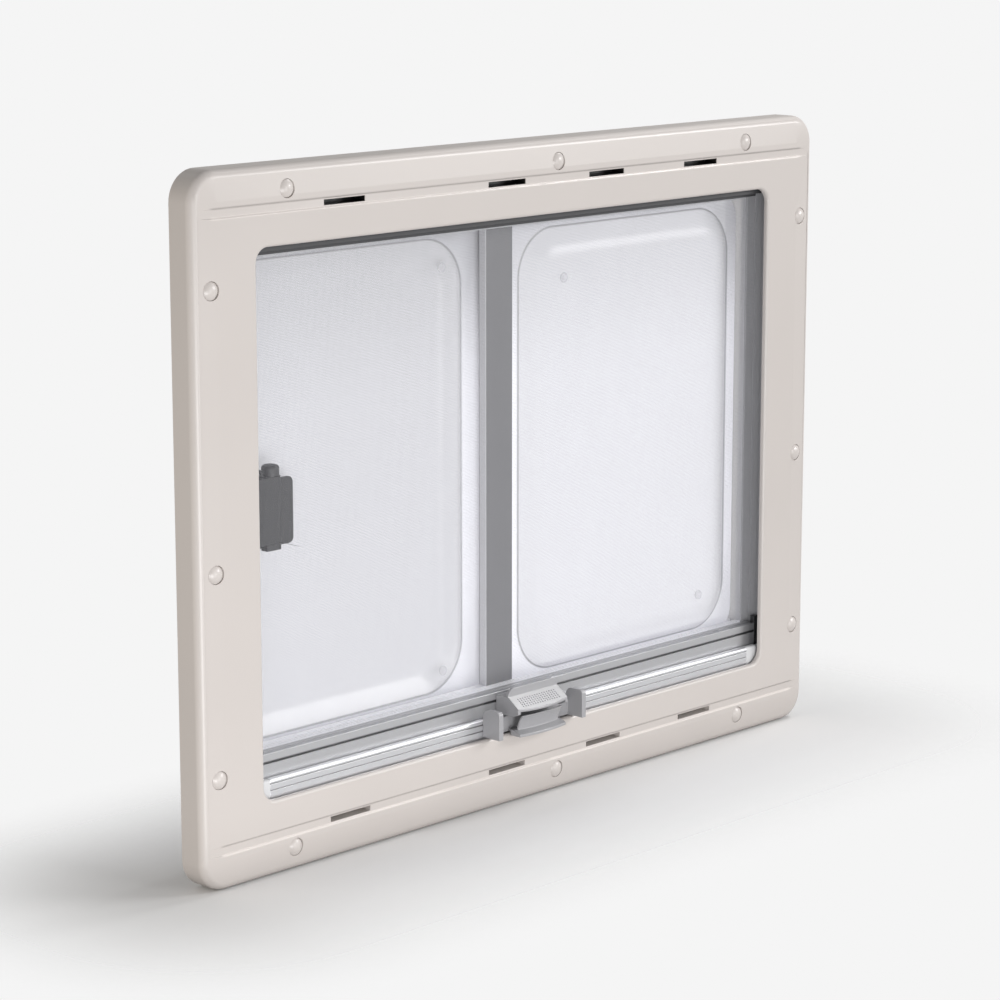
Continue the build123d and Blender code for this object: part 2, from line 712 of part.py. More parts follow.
keeper_high = blind_bar_z - keeper_plate_drop
with BuildPart() as catch_keeper:
    with BuildSketch(wall_plane(blind_bar_front)):
        with Locations((0, (floor_low + keeper_high) / 2)):
            Rectangle(2 * keeper_half_width, keeper_high - floor_low)
    extrude(amount=keeper_plate)
    for sign in SIGNS:
        with BuildSketch(Plane.YZ.offset(sign * (keeper_half_width - horn_thickness))) as horn:
            horn_low_back = (blind_bar_front, floor_low)
            horn_high_front = (front - horn_reach, blind_bar_z + horn_top)
            with BuildLine():
                Polyline(
                    horn_low_back,
                    (horn_low_back[0], horn_high_front[1]),
                    horn_high_front,
                    (horn_high_front[0], horn_low_back[1]),
                    close=True,
                )
            make_face()
            fillet(horn.vertices().group_by(Axis.Y)[-1].sort_by(Axis.X)[0], horn_front_round)
            fillet(horn.vertices().group_by(Axis.Y)[-1].sort_by(Axis.X)[-1], horn_back_round)
        extrude(amount=sign * horn_thickness)
    add(tray_lip_plate.part)
    add(apron.part)
save(catch_keeper.part, "catch_keeper")

# Sash latch on the sliding pane's free edge
plate_left = -jamb_face + sash_latch_left
with BuildPart() as sash_latch_base:
    with BuildSketch(wall_plane(sash_face)):
        with Locations((plate_left + sash_latch_width / 2, sash_latch_centre)):
            RectangleRounded(sash_latch_width, sash_latch_height, sash_latch_corner)
    extrude(amount=sash_latch_plate)
save(sash_latch_base.part, "sash_latch_base")

lever_back = sash_face - sash_latch_plate
lever_middle = lever_back - lever_depth / 2
lever_x = plate_left + lever_left
lever_low = sash_latch_centre + lever_lift - lever_height / 2
lever_high = lever_low + lever_height
with BuildPart() as sash_latch_lever:
    with BuildSketch(Plane.XY.offset(lever_low)) as lever_section:
        with Locations((lever_x + lever_width / 2, lever_middle)):
            Rectangle(lever_width, lever_depth)
        fillet(lever_section.vertices().group_by(Axis.Y)[0], lever_round)
    extrude(amount=lever_height)
    with BuildSketch(Plane.XY.offset(lever_high)):
        with Locations((lever_x + lever_width - knob_inset, lever_middle)):
            Circle(knob_diameter / 2)
    extrude(amount=knob_height)
    fillet(sash_latch_lever.faces().sort_by(Axis.Z)[-1].edges(), knob_round)
    with BuildSketch(wall_plane(lever_middle + ring_thickness / 2)):
        with Locations((lever_x + ring_inset, lever_high + ring_hole / 2)):
            Circle(ring_diameter / 2)
            Circle(ring_hole / 2, mode=Mode.SUBTRACT)
    extrude(amount=ring_thickness)
    with BuildSketch(Plane.XY.offset(lever_low)):
        with Locations((lever_x + lever_width - foot_width / 2, lever_middle)):
            Rectangle(foot_width, foot_depth)
    extrude(amount=-foot_height)
save(sash_latch_lever.part, "sash_latch_lever")
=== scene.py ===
"""Looks of a caravan window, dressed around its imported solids.

The cream inner frame, the screw caps, the acrylic panes, the woven insect screen, the bars, the catch and the
sash latch each get their finish here. Axes are the solids' own: X right, Y outdoors, Z up, in metres.
"""

import logging
import math
from dataclasses import dataclass
from enum import Enum
from typing import Any, Iterable, Sequence

import bmesh
import bpy
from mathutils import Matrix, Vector

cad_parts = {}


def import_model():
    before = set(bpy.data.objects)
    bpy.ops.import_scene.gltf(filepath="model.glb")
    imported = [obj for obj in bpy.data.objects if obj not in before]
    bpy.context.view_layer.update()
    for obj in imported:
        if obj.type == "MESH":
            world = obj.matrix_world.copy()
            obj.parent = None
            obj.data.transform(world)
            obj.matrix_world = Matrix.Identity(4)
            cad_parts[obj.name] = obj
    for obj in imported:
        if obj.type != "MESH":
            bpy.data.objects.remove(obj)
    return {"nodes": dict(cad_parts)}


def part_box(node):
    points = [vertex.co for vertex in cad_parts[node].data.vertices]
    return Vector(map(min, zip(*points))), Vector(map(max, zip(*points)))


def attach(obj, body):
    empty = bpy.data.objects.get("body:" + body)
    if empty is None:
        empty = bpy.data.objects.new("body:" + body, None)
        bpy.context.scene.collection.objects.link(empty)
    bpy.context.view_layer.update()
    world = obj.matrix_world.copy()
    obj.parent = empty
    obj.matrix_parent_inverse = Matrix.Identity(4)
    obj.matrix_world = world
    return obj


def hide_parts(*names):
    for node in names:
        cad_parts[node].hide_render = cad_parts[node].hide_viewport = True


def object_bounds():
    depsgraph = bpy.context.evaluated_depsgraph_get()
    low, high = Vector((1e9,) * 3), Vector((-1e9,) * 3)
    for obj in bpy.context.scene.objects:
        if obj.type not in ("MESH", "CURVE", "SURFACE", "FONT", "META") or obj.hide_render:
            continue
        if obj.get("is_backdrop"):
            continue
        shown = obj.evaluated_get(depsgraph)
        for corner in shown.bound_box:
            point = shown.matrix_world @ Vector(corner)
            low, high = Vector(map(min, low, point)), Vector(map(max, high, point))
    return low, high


MM = 0.001
BODY = "root"
WELD = 1e-6
MERGE = 2 * WELD

Colour = tuple[float, float, float]
Outline = list[Vector]

log = logging.getLogger("caravan_window")


class Value:
    """A number or vector in a node tree; Python sums with it add Math nodes."""

    def __init__(self, graph: "Graph", socket: bpy.types.NodeSocket) -> None:
        """Wraps one output socket of a graph."""
        self.graph = graph
        self.socket = socket

    def maths(self, operation: str, *values: "Value | float") -> "Value":
        """Adds one Math node.

        Args:
            operation: the Math node's operation.
            values: its inputs in order.

        Returns:
            The result.
        """
        return self.graph.node("ShaderNodeMath", {"operation": operation}, dict(enumerate(values)))

    def __add__(self, other: "Value | float") -> "Value":
        """Sum."""
        return self.maths("ADD", self, other)

    def __radd__(self, other: float) -> "Value":
        """Sum with a plain number first."""
        return self.maths("ADD", other, self)

    def __sub__(self, other: "Value | float") -> "Value":
        """Difference."""
        return self.maths("SUBTRACT", self, other)

    def __rsub__(self, other: float) -> "Value":
        """Difference from a plain number."""
        return self.maths("SUBTRACT", other, self)

    def __mul__(self, other: "Value | float") -> "Value":
        """Product."""
        return self.maths("MULTIPLY", self, other)

    def __rmul__(self, other: float) -> "Value":
        """Product with a plain number first."""
        return self.maths("MULTIPLY", other, self)

    def __truediv__(self, other: "Value | float") -> "Value":
        """Quotient."""
        return self.maths("DIVIDE", self, other)

    def __abs__(self) -> "Value":
        """Size without sign."""
        return self.maths("ABSOLUTE", self)

    def at_least(self, other: "Value | float") -> "Value":
        """The larger of the two."""
        return self.maths("MAXIMUM", self, other)

    def at_most(self, other: "Value | float") -> "Value":
        """The smaller of the two."""
        return self.maths("MINIMUM", self, other)

    def floor(self) -> "Value":
        """The whole number below."""
        return self.maths("FLOOR", self)

    def eased(self, low: float, high: float) -> "Value":
        """Rises smoothly from 0 at low to 1 at high."""
        settings = {"interpolation_type": "SMOOTHSTEP"}
        sockets = {"Value": self, "From Min": low, "From Max": high}
        return self.graph.node("ShaderNodeMapRange", settings, sockets)

    def part(self, name: str) -> "Value":
        """Another output of the same node."""
        return Value(self.graph, self.socket.node.outputs[name])


class Graph:
    """A node tree that the script fills."""

    def __init__(self, tree: bpy.types.NodeTree) -> None:
        """Starts from an empty tree."""
        self.tree = tree
        tree.nodes.clear()

    def node(
        self,
        kind: str,
        settings: dict[str, Any] | None = None,
        sockets: dict[str | int, Any] | None = None,
        output: str | int = 0,
    ) -> Value | None:
        """Adds a node.

        Args:
            kind: the node's type.
            settings: its own settings, set first.
            sockets: values or links of its inputs, by name or index; a list links them all to one input.
            output: the output to return.

        Returns:
            That output, or None for a node without outputs.
        """
        made = self.tree.nodes.new(kind)
        for key, setting in (settings or {}).items():
            setattr(made, key, setting)
        for key, value in (sockets or {}).items():
            links = [v for v in (value if isinstance(value, list) else [value]) if isinstance(v, Value)]
            for link in links:
                self.tree.links.new(link.socket, made.inputs[key])
            if not links:
                colour = made.inputs[key].type == "RGBA"
                made.inputs[key].default_value = (*value, 1.0) if colour else value
        return Value(self, made.outputs[output]) if made.outputs else None


class Surface(Graph):
    """A material under construction."""

    def __init__(self, name: str) -> None:
        """Makes an empty material."""
        self.material = bpy.data.materials.new(name)
        self.material.use_nodes = True
        super().__init__(self.material.node_tree)

    def point(self, stretch: Colour = (1.0, 1.0, 1.0)) -> Value:
        """The place on the object, in metres, scaled along each axis."""
        place = self.node("ShaderNodeTexCoord", output="Object")
        if stretch == (1.0, 1.0, 1.0):
            return place
        return self.node("ShaderNodeMapping", None, {"Vector": place, "Scale": stretch})

    def noise(self, size: float, detail: float = 2.0, stretch: Colour = (1.0, 1.0, 1.0)) -> Value:
        """Soft noise from 0 to 1.

        Args:
            size: length of one cloud, in metres.
            detail: octaves of finer noise.
            stretch: factors on the three axes; below 1 draws the noise out along that axis.

        Returns:
            The noise.
        """
        sockets = {"Vector": self.point(stretch), "Scale": 1.0 / size, "Detail": detail}
        return self.node("ShaderNodeTexNoise", None, sockets)

    def places(self) -> tuple[Value, Value, Value]:
        """The three coordinates on the object, in metres."""
        place = self.node("ShaderNodeSeparateXYZ", None, {0: self.point()})
        return place.part("X"), place.part("Y"), place.part("Z")

    def length(self, first: Value, second: Value) -> Value:
        """Length of a vector with two parts."""
        vector = self.node("ShaderNodeCombineXYZ", None, {"X": first, "Y": second})
        return self.node("ShaderNodeVectorMath", {"operation": "LENGTH"}, {0: vector}, "Value")

    def mix(self, factor: Value | float, first: Any, second: Any) -> Value:
        """A colour between two colours."""
        return self.node("ShaderNodeMix", {"data_type": "RGBA"}, {0: factor, 6: first, 7: second}, 2)

    def tones(self, factor: Value, colour: Colour, darkest: float, lightest: float) -> Value:
        """A colour between a darker and a lighter shade of it."""
        return self.mix(factor, shade(colour, darkest), shade(colour, lightest))

    def bump(self, height: Value, distance: float) -> Value:
        """A normal that follows a height, in metres."""
        return self.node("ShaderNodeBump", None, {"Height": height, "Distance": distance, "Strength": 1.0})

    def close(self, **sockets: Any) -> bpy.types.Material:
        """Ends in a Principled shader.

        Args:
            sockets: its inputs, with _ for spaces in their names.

        Returns:
            The material.
        """
        named = {key.replace("_", " "): value for key, value in sockets.items()}
        shader = self.node("ShaderNodeBsdfPrincipled", None, named)
        self.node("ShaderNodeOutputMaterial", None, {"Surface": shader})
        return self.material


@dataclass(frozen=True)
class Finish:
    """A named surface finish; its material is made once."""

    name: str

    def material(self) -> bpy.types.Material:
        """The finish as a material."""
        return bpy.data.materials.get(self.name) or self.build(Surface(self.name))

    def build(self, surface: Surface) -> bpy.types.Material:
        """Fills the material."""
        raise NotImplementedError

    def paint(self, surface: Surface, colour: Value) -> Value:
        """The colour over the whole surface; a plain finish is the same everywhere."""
        return colour


def shade(colour: Colour, factor: float) -> Colour:
    """A colour made darker or lighter by a factor."""
    return tuple(min(1.0, channel * factor) for channel in colour)


@dataclass(frozen=True)
class MouldedPlastic(Finish):
    """Injection-moulded plastic with a fine grain."""

    colour: Colour
    roughness: float = 0.42
    grain: float = 0.7 * MM
    relief: float = 0.02 * MM
    mottle: float = 0.02
    cloud: float = 90 * MM
    alpha: float = 1.0
    glow: float = 0.0
    octaves: float = 3.0
    grain_spread: float = 0.12
    cloud_spread: float = 0.06

    def build(self, surface: Surface) -> bpy.types.Material:
        """Fills the material."""
        grain = surface.noise(self.grain, self.octaves)
        cloud = surface.noise(self.cloud, self.octaves)
        rough = self.polish(surface) + self.grain_spread * (grain - 0.5) + self.cloud_spread * (cloud - 0.5)
        colour = surface.tones(cloud, self.colour, 1 - self.mottle, 1 + self.mottle)
        return surface.close(
            Base_Color=self.paint(surface, colour),
            Roughness=rough,
            Normal=surface.bump(grain, self.relief),
            Alpha=self.alpha,
            **self.light(),
        )

    def polish(self, surface: Surface) -> Value | float:
        """The roughness over the whole surface."""
        return self.roughness

    def light(self) -> dict[str, Any]:
        """A faint painted glow, an emission standing in for daylight through a pale plastic."""
        if not self.glow:
            return {}
        return {"Emission_Color": self.colour, "Emission_Strength": self.glow}


@dataclass(frozen=True)
class FrameMoulding(MouldedPlastic):
    """The inner frame's plastic, with painted shade and highlight on its channel walls and painted shade in
    the upper vents, matt on its outer edge.
    """

    vent_painted_shade: Colour = (0.012, 0.011, 0.01)
    vent_middle: float = 260.5 * MM
    vent_reach: float = 3.5 * MM
    row_reach: float = 300 * MM
    mouth: float = -25.6 * MM
    end: float = -9 * MM
    half_width: float = 388 * MM
    half_height: float = 295 * MM
    edge_depth: float = 4 * MM
    edge_roughness: float = 0.6
    wall_middle: float = 3.9 * MM
    wall_reach: float = 1.7 * MM
    wall_front: float = -26.4 * MM
    wall_end: float = 371 * MM
    wall_painted_shade: float = 0.7
    wall_painted_highlight: float = 1.3
    wall_fade: float = 6 * MM
    front_fade: float = 0.4 * MM
    vent_fade: float = 0.5 * MM
    row_fade: float = 5 * MM
    mouth_fade: float = 0.8 * MM
    end_fade: float = 1 * MM
    middle_fade: float = 1 * MM

    def paint(self, surface: Surface, colour: Value) -> Value:
        """The colour with painted shade on the channels' upper walls, a painted highlight on their lower
        walls, and painted shade behind the upper vents' mouths.
        """
        x, y, z = surface.places()
        in_front = 1 - y.eased(self.wall_front, self.wall_front + self.front_fade)
        near = in_front * (1 - abs(x).eased(self.wall_end - self.wall_fade, self.wall_end))
        height = z + self.vent_middle - 2 * self.vent_middle * z.eased(-self.middle_fade, self.middle_fade)
        # Painted shade on each channel's upper wall and a painted highlight on its lower wall, as light from
        # above would fall.
        for side, level in ((1, self.wall_painted_shade), (-1, self.wall_painted_highlight)):
            wall = 1 - abs(height - side * self.wall_middle).eased(0.0, self.wall_reach)
            colour = surface.mix(wall * near, colour, shade(self.colour, level))
        # Painted shade deep in the upper vents, behind their mouths.
        inside = y.eased(self.mouth - self.mouth_fade, self.mouth)
        inside = inside * (1 - y.eased(self.end, self.end + self.end_fade))
        in_row = 1 - abs(z - self.vent_middle).eased(self.vent_reach, self.vent_reach + self.vent_fade)
        along = 1 - abs(x).eased(self.row_reach, self.row_reach + self.row_fade)
        return surface.mix(inside * in_row * along, colour, self.vent_painted_shade)

    def polish(self, surface: Surface) -> Value | float:
        """The roughness, higher on the outer edge."""
        x, _, z = surface.places()
        out = (abs(x) - self.half_width).at_least(abs(z) - self.half_height)
        edge = out.eased(-self.edge_depth, -0.5 * self.edge_depth)
        return self.roughness + (self.edge_roughness - self.roughness) * edge


@dataclass(frozen=True)
class EdgedStile(MouldedPlastic):
    """The stiles' plastic, with a painted highlight down the room side's left edge, where its side face is
    lit from the left.
    """

    painted_side_highlight: Colour = (0.55, 0.55, 0.57)
    edge: float = -16.2 * MM
    highlight_end: float = 21.4 * MM
    fade: float = 0.4 * MM

    def paint(self, surface: Surface, colour: Value) -> Value:
        """The colour with its painted highlight."""
        x, y, _ = surface.places()
        left = 1 - x.eased(self.edge - self.fade, self.edge)
        before = 1 - y.eased(self.highlight_end, self.highlight_end + self.fade)
        # Painted highlight on the left side face, lighter as the light falls on it from the left.
        return surface.mix(left * before, colour, self.painted_side_highlight)


@dataclass(frozen=True)
class DrawnMetal(Finish):
    """Anodised extruded aluminium with fine lines along the draw."""

    colour: Colour
    roughness: float = 0.38
    metallic: float = 0.85
    line: float = 0.5 * MM
    along: Colour = (0.02, 1.0, 1.0)
    cloud: float = 60 * MM
    octaves: float = 2.0
    darkest: float = 0.94
    lightest: float = 1.05
    spread: float = 0.16
    relief: float = 0.006 * MM

    def build(self, surface: Surface) -> bpy.types.Material:
        """Fills the material."""
        lines = surface.noise(self.line, self.octaves, self.along)
        cloud = surface.noise(self.cloud, self.octaves, self.along)
        colour = surface.tones(0.5 * lines + 0.5 * cloud, self.colour, self.darkest, self.lightest)
        return surface.close(
            Base_Color=self.paint(surface, colour),
            Metallic=self.metallic,
            Roughness=self.roughness + self.spread * (lines - 0.5),
            Normal=surface.bump(lines, self.relief),
        )


@dataclass(frozen=True)
class GroovedBar(DrawnMetal):
    """The bars' metal, with painted shade in their long grooves."""

    grooves: tuple[float, ...] = (-201.5 * MM,)
    groove_reach: float = 1.2 * MM
    groove_front: float = -15 * MM
    groove_edge: float = 1.3
    groove_painted_shade: Colour = (0.2, 0.2, 0.206)

    def paint(self, surface: Surface, colour: Value) -> Value:
        """The colour with painted shade in its grooves."""
        _, y, z = surface.places()
        inside = y.eased(self.groove_front, self.groove_front + self.groove_reach)
        for groove in self.grooves:
            line = 1 - abs(z - groove).eased(self.groove_reach, self.groove_edge * self.groove_reach)
            # Painted shade along each groove.
            colour = surface.mix(line * inside, colour, self.groove_painted_shade)
        return colour


@dataclass(frozen=True)
class SealRubber(Finish):
    """Matt black sealing rubber."""

    colour: Colour
    grain: float = 1.2 * MM
    octaves: float = 4.0
    darkest: float = 0.8
    lightest: float = 1.25
    roughness: float = 0.72
    spread: float = 0.15
    relief: float = 0.04 * MM

    def build(self, surface: Surface) -> bpy.types.Material:
        """Fills the material."""
        grain = surface.noise(self.grain, self.octaves)
        return surface.close(
            Base_Color=surface.tones(grain, self.colour, self.darkest, self.lightest),
            Roughness=self.roughness + self.spread * (grain - 0.5),
            Normal=surface.bump(grain, self.relief),
        )


@dataclass(frozen=True)
class Panel:
    """A rectangle with round corners in the plane of the window, in metres."""

    left: float
    right: float
    low: float
    high: float
    corner: float
    least_corner: float = 0.2 * MM

    @property
    def centre(self) -> tuple[float, float]:
        """Its middle."""
        return (self.left + self.right) / 2, (self.low + self.high) / 2

    @property
    def half(self) -> tuple[float, float]:
        """Half its width and height."""
        return (self.right - self.left) / 2, (self.high - self.low) / 2

    def inset(self, by: float) -> "Panel":
        """The same panel with its edges moved inwards."""
        corner = max(self.corner - by, self.least_corner)
        return Panel(self.left + by, self.right - by, self.low + by, self.high - by, corner)

    def ring(self, depth: float, steps: int) -> Outline:
        """Its outline as points.

        Args:
            depth: place across the wall.
            steps: straight steps in each round corner.

        Returns:
            The points, in order round the panel.
        """
        (x, z), (half_x, half_z), radius = self.centre, self.half, self.corner
        points = []
        for quarter, (sign_x, sign_z) in enumerate(((1, 1), (-1, 1), (-1, -1), (1, -1))):
            middle_x, middle_z = x + sign_x * (half_x - radius), z + sign_z * (half_z - radius)
            for step in range(steps + 1):
                angle = (quarter + step / steps) * math.pi / 2
                across, up = radius * math.cos(angle), radius * math.sin(angle)
                points.append(Vector((middle_x + across, depth, middle_z + up)))
        return points


@dataclass(frozen=True)
class Acrylic(Finish):
    """Acrylic sheet, a little milky; a formed one has a painted dark line along its crease and a milkier
    flange outside it.
    """

    colour: Colour
    milk: float
    roughness: float = 0.26
    shine: float = 0.3
    crease: Panel | None = None
    crease_width: float = 1.4 * MM
    far_shade_width: float = 0.0
    crease_painted_shade: float = 0.75
    flange_dark: float = 0.08
    flange_milk: float = 0.75
    glow: float = 0.07
    flange_glow: float = 0.42
    top_shadow_from: float = 60 * MM
    top: float = 230 * MM
    foot: float = -225 * MM
    foot_end: float = -100 * MM
    foot_fade: float = 0.5
    top_shadow_share: float = 0.22
    top_shadow_shade: float = 0.5
    crease_milk: float = 0.8
    far_start: float = 0.82
    cloud: float = 120 * MM
    octaves: float = 3.0
    mottle: float = 0.02
    spread: float = 0.06
    bending: float = 1.49

    def build(self, surface: Surface) -> bpy.types.Material:
        """Fills the material."""
        haze = surface.noise(self.cloud, self.octaves)
        alpha = self.milk + self.mottle * (haze - 0.5)
        colour = surface.tones(haze, self.colour, 1 - self.mottle, 1 + self.mottle)
        # A faint painted glow, an emission standing in for daylight through the milky acrylic, stronger on
        # the flange.
        glow = shade(self.colour, self.glow / self.flange_glow)
        if self.crease:
            away = self._distance(surface)
            width = self.crease_width + self.far_shade_width * self._far_side(surface)
            # A painted dark line along the crease, standing in for the shade and reflection of the bent
            # acrylic, wider on the right side.
            line = 1 - (abs(away + width / 2) / width).eased(0.0, 1.0)
            colour = surface.mix(line, colour, shade(self.colour, 1 - self.crease_painted_shade))
            flange = away.eased(-self.crease_width, self.crease_width)
            colour = surface.mix(flange * (1 - line), colour, shade(self.colour, 1 - self.flange_dark))
            alpha = (alpha + (self.flange_milk - self.milk) * flange).at_least(self.crease_milk * line)
            glow = surface.mix(flange * (1 - line), glow, self.colour)
        _, _, z = surface.places()
        # Painted shadow toward the top: the colour darkens and the painted glow fades there; the glow also
        # fades toward the foot.
        high, low = z.eased(self.top_shadow_from, self.top), 1 - z.eased(self.foot, self.foot_end)
        glow = surface.mix(high.at_least(self.foot_fade * low), glow, shade(self.colour, 0.0))
        colour = surface.mix(self.top_shadow_share * high, colour, shade(self.colour, self.top_shadow_shade))
        surface.material.surface_render_method = "BLENDED"
        return surface.close(
            Base_Color=colour,
            Alpha=alpha,
            Roughness=self.roughness + self.spread * haze,
            IOR=self.bending,
            Specular_IOR_Level=self.shine,
            Emission_Color=glow,
            Emission_Strength=self.flange_glow,
        )

    def _far_side(self, surface: Surface) -> Value:
        """One along the crease's right side, where the painted dark line is widened as painted shade and
        reflection, and nought elsewhere.
        """
        x, _, _ = surface.places()
        return ((x - self.crease.centre[0]) / self.crease.half[0]).eased(self.far_start, 1.0)

    def _distance(self, surface: Surface) -> Value:
        """Distance from the crease, negative inside it."""
        x, _, z = surface.places()
        (mid_x, mid_z), (half_x, half_z), corner = self.crease.centre, self.crease.half, self.crease.corner
        across = abs(x - mid_x) - (half_x - corner)
        up = abs(z - mid_z) - (half_z - corner)
        outside = surface.length(across.at_least(0.0), up.at_least(0.0))
        return outside + across.at_least(up).at_most(0.0) - corner


@dataclass(frozen=True)
class Ground(Finish):
    """Pale studio floor that fades into the background and throws little light back."""

    half_length: float
    half_depth: float
    colour: Colour = (0.9, 0.9, 0.9)
    bounce: float = 0.65
    gone: float = 0.25
    grain: float = 40 * MM
    mottle: float = 0.01

    def build(self, surface: Surface) -> bpy.types.Material:
        """Fills the material."""
        x, y, _ = surface.places()
        along = (abs(x) - self.half_length).at_least(0.0)
        across = (abs(y) - self.half_depth).at_least(0.0)
        gone = surface.length(along, across).eased(0.0, self.gone)
        grain = surface.noise(self.grain)
        seen = surface.node("ShaderNodeLightPath", output="Is Camera Ray")
        pale = surface.tones(grain, self.colour, 1 - self.mottle, 1.0)
        colour = surface.mix(seen, shade(self.colour, self.bounce), pale)
        paint = surface.node("ShaderNodeBsdfDiffuse", None, {"Color": colour})
        clear = surface.node("ShaderNodeBsdfTransparent")
        shader = surface.node("ShaderNodeMixShader", None, {0: gone, 1: paint, 2: clear})
        surface.node("ShaderNodeOutputMaterial", None, {"Surface": shader})
        return surface.material


class Slot(Enum):
    """The record's material slot names, each listed with the finish that the pieces made for it get."""

    CREAM = ("cream_moulding", FrameMoulding("cream satin moulding", (0.56, 0.518, 0.492), 0.31))
    CAP = ("cap_plastic", MouldedPlastic("cream satin caps", (0.58, 0.537, 0.51), 0.28))
    FRAME = ("frame_metal", DrawnMetal("satin anodised frame", (0.72, 0.72, 0.74), 0.45, 0.2))
    JAMB = ("frame_metal", DrawnMetal("satin anodised jamb", (0.58, 0.58, 0.6), 0.45, 0.2))
    TOP_TRACK = ("track_plastic", MouldedPlastic("light grey top track", (0.5, 0.5, 0.52), 0.4))
    # The bottom track carries a faint painted glow, standing in for daylight through the milky panes.
    BOTTOM_TRACK = ("track_plastic", MouldedPlastic("pale bottom track", (0.86, 0.86, 0.89), 0.4, glow=0.12))
    SEAL = ("seal_rubber", SealRubber("black seal", (0.025, 0.025, 0.025)))
    PLUG = ("plug_plastic", MouldedPlastic("clear milky plug", (0.8, 0.8, 0.84), 0.12, alpha=0.3))
    STILE = ("stile_plastic", EdgedStile("mid grey stile", (0.14, 0.14, 0.147), 0.45))
    GUIDE = ("guide_plastic", MouldedPlastic("dark grey guide", (0.34, 0.34, 0.352), 0.5))
    BAR_END = ("guide_plastic", MouldedPlastic("near-black end", (0.014, 0.014, 0.015), 0.45))
    CASSETTE = ("cassette_metal", MouldedPlastic("dark grey cassette", (0.035, 0.035, 0.038), 0.5))
    END = ("end_plastic", MouldedPlastic("light grey end", (0.6, 0.6, 0.61), 0.4))
    SCREEN_BAR = ("bar_metal", GroovedBar("satin anodised screen bar", (0.44, 0.44, 0.452), 0.42))
    BLIND_BAR = (
        "bar_metal",
        GroovedBar(
            "satin anodised blind bar",
            (0.6, 0.6, 0.618),
            0.4,
            grooves=(-217.5 * MM, -223.1 * MM),
            groove_reach=0.42 * MM,
            groove_front=-24 * MM,
            groove_painted_shade=(0.3, 0.3, 0.309),
        ),
    )
    CATCH = ("catch_plastic", MouldedPlastic("grey catch", (0.34, 0.337, 0.349), 0.3))
    # The pad's dots get a darker copy of the catch's grey: painted shade for the shadows round each dot.
    SHADED_DOT = ("catch_plastic", MouldedPlastic("grey catch dots in painted shade", (0.17, 0.168, 0.176), 0.5))
    LATCH = ("latch_plastic", MouldedPlastic("dark grey latch", (0.014, 0.014, 0.016), 0.55))
    SCREEN = (
        "screen_fabric",
        MouldedPlastic("woven screen strand", (0.78, 0.78, 0.82), 0.5, 2 * MM, alpha=0.1),
    )

    @property
    def label(self) -> str:
        """The slot's name in the record."""
        return self.value[0]

    @property
    def finish(self) -> Finish:
        """The slot's finish."""
        return self.value[1]


def placed(name: str, data: bpy.types.ID) -> bpy.types.Object:
    """A new object in the scene."""
    made = bpy.data.objects.new(name, data)
    bpy.context.scene.collection.objects.link(made)
    return made


def add_piece(
    name: str, mesh: bpy.types.Mesh, finish: Finish, nodes: Iterable[str] = ()
) -> bpy.types.Object:
    """Puts a finished mesh into the scene as a piece of the window.

    Args:
        name: the piece's name.
        mesh: its mesh, already in place.
        finish: its finish.
        nodes: solids that it stands for.

    Returns:
        The piece.
    """
    piece = placed(name, mesh)
    mesh.materials.clear()
    mesh.materials.append(finish.material())
    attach(piece, BODY)
    replaced = list(nodes)
    if replaced:
        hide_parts(*replaced)
    log.info("%s: %d faces, %s", name, len(mesh.polygons), finish.name)
    return piece


def plain_mesh(carrier: bpy.types.Object, name: str) -> bpy.types.Mesh:
    """Applies a carrier's modifiers and removes it.

    Args:
        carrier: an object with live modifiers.
        name: the new mesh's name.

    Returns:
        The result as a plain mesh.
    """
    bpy.context.view_layer.update()
    graph = bpy.context.evaluated_depsgraph_get()
    mesh = bpy.data.meshes.new_from_object(
        carrier.evaluated_get(graph), preserve_all_data_layers=True, depsgraph=graph
    )
    mesh.name = name
    bpy.data.objects.remove(carrier)
    return mesh


def smooth(mesh: bpy.types.Mesh, angle: float = 35.0) -> bpy.types.Mesh:
    """Smooth shading, with edges above an angle in degrees kept sharp."""
    mesh.shade_smooth()
    mesh.set_sharp_from_angle(angle=math.radians(angle))
    return mesh


def merged(solid: bpy.types.Object) -> bmesh.types.BMesh:
    """A solid's faces, joined along the points that they share."""
    shell = bmesh.new()
    shell.from_mesh(solid.data)
    bmesh.ops.remove_doubles(shell, verts=shell.verts, dist=MERGE)
    return shell


def loft(name: str, rings: Sequence[Outline]) -> bpy.types.Mesh:
    """Skins outlines of equal count, closing the first and the last one.

    Args:
        name: the mesh's name.
        rings: the outlines in order.

    Returns:
        A closed mesh with its faces pointing outwards.
    """
    shell = bmesh.new()
    loops = [[shell.verts.new(point) for point in ring] for ring in rings]
    count = len(rings[0])
    for near, far in zip(loops, loops[1:]):
        for i in range(count):
            j = (i + 1) % count
            shell.faces.new((near[i], near[j], far[j], far[i]))
    shell.faces.new(loops[0])
    shell.faces.new(loops[-1])
    bmesh.ops.remove_doubles(shell, verts=shell.verts, dist=WELD)
    bmesh.ops.recalc_face_normals(shell, faces=shell.faces)
    mesh = bpy.data.meshes.new(name)
    shell.to_mesh(mesh)
    shell.free()
    return mesh


